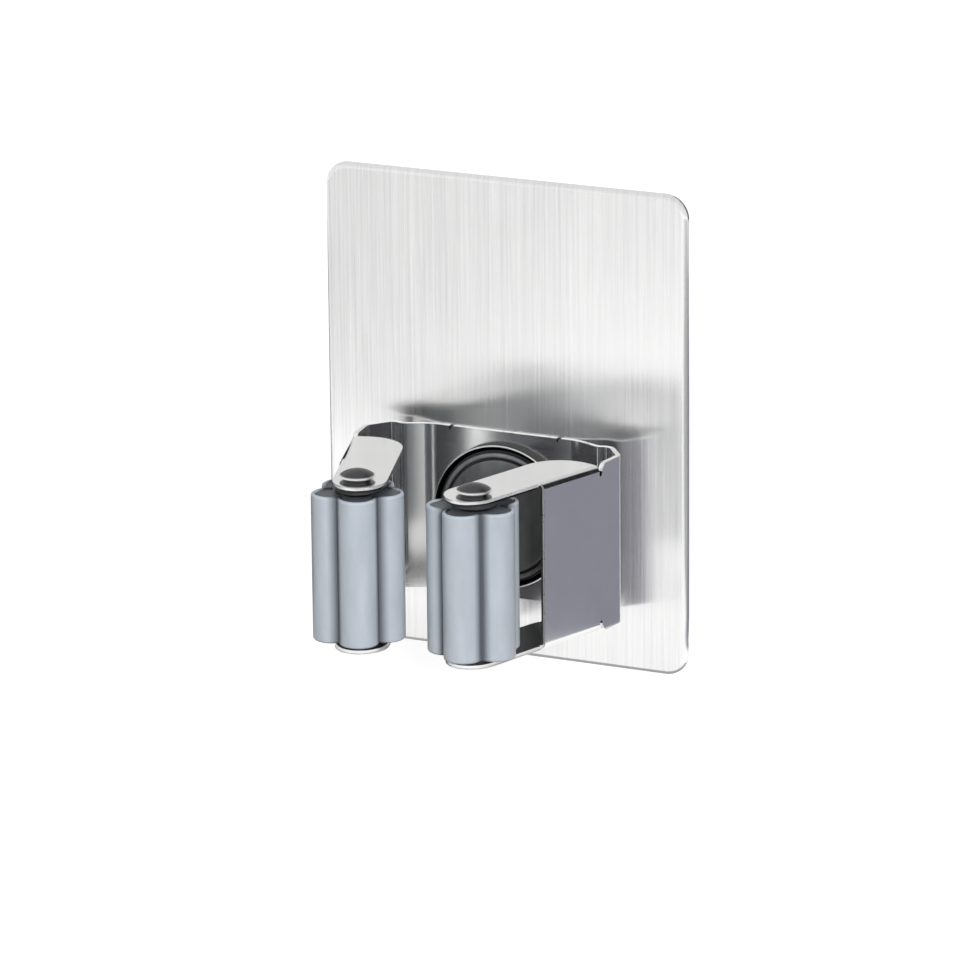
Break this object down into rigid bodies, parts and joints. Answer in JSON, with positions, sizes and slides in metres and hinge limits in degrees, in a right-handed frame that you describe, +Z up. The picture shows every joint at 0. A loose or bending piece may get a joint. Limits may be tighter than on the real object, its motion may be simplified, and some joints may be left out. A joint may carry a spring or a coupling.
{
  "type": "wall mop holder",
  "caption": "Adhesive wall holder for a mop handle: a brushed steel plate with a spring steel clip whose arms grip a round handle between lobed rubber rollers.",
  "frame": {"origin": "centre of the adhesive face that meets the wall", "axes": "+X to the viewer's right, +Y into the wall, +Z up"},
  "size_m": [0.08, 0.0537, 0.1],
  "materials": {
    "adhesive_foam": "matt white acrylic foam",
    "plate_steel": "stainless, brushed vertically",
    "spring_steel": "bright rolled spring stainless",
    "cup_steel": "pressed bright stainless",
    "rivet_steel": "polished steel",
    "bumper_rubber": "smooth dark rubber",
    "roller_rubber": "satin grey-blue rubber",
    "core_plastic": "moulded dark plastic",
    "washer_plastic": "dark nylon"
  },
  "bodies": {
    "wall_unit": {"adhesive_pad": "adhesive_foam", "back_plate": "plate_steel", "clip_base": "spring_steel", "centre_cup": "cup_steel", "centre_bumper": "bumper_rubber", "centre_rivet": "rivet_steel"},
    "right_lever": {"right_arm": "spring_steel", "right_axle_rivet": "rivet_steel", "right_axle_tube": "rivet_steel", "right_upper_washer": "washer_plastic", "right_lower_washer": "washer_plastic"},
    "left_lever": {"left_arm": "spring_steel", "left_axle_rivet": "rivet_steel", "left_axle_tube": "rivet_steel", "left_upper_washer": "washer_plastic", "left_lower_washer": "washer_plastic"},
    "right_roller": {"right_roller_core": "core_plastic", "right_roller_sleeve": "roller_rubber"},
    "left_roller": {"left_roller_core": "core_plastic", "left_roller_sleeve": "roller_rubber"}
  },
  "joints": [
    {"name": "right_arm_flex", "type": "hinge", "parent": "wall_unit", "child": "right_lever", "pos_m": [0.02788, -0.01039, -0.02], "axis": [0, 0, 1], "range_deg": [-4, 18], "stiffness_Nm_per_rad": 3},
    {"name": "left_arm_flex", "type": "hinge", "parent": "wall_unit", "child": "left_lever", "pos_m": [-0.02788, -0.01039, -0.02], "axis": [0, 0, -1], "range_deg": [-4, 18], "stiffness_Nm_per_rad": 3},
    {"name": "right_roller_spin", "type": "hinge", "parent": "right_lever", "child": "right_roller", "pos_m": [0.0127, -0.04425, -0.02], "axis": [0, 0, 1], "continuous": true},
    {"name": "left_roller_spin", "type": "hinge", "parent": "left_lever", "child": "left_roller", "pos_m": [-0.0127, -0.04425, -0.02], "axis": [0, 0, 1], "continuous": true}
  ]
}
